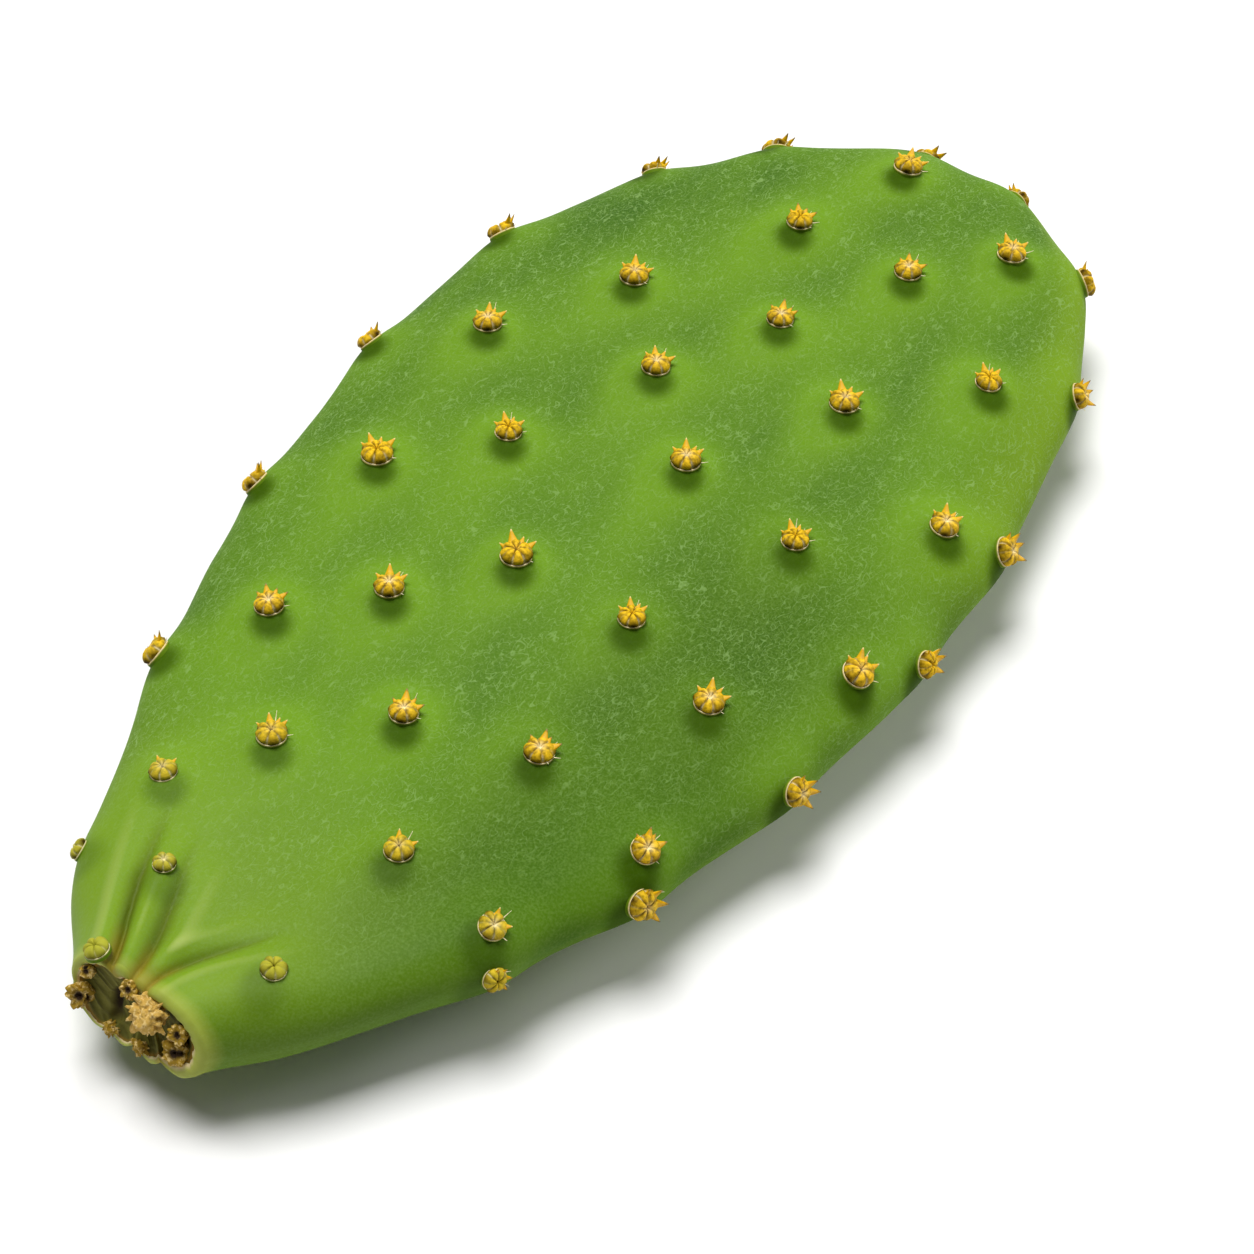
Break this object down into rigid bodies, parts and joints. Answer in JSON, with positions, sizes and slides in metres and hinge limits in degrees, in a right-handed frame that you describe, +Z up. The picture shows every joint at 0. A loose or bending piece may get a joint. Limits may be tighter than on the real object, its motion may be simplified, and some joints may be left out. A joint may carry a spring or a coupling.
{
  "type": "prickly pear cactus pad",
  "caption": "Obovate flattened cactus pad with ranks of short-spined areoles on both faces and round the margin, lying flat as picked.",
  "frame": {"origin": "on the surface that the pad lies on, under the middle of its box", "axes": "+Y along the pad from the cut end to the tip, +Z up out of the near face, +X across the pad"},
  "size_m": [0.105, 0.2002, 0.0229],
  "materials": {
    "skin": "satin, waxy plant skin"
  },
  "bodies": {
    "root": {"pad": "skin"}
  },
  "joints": []
}
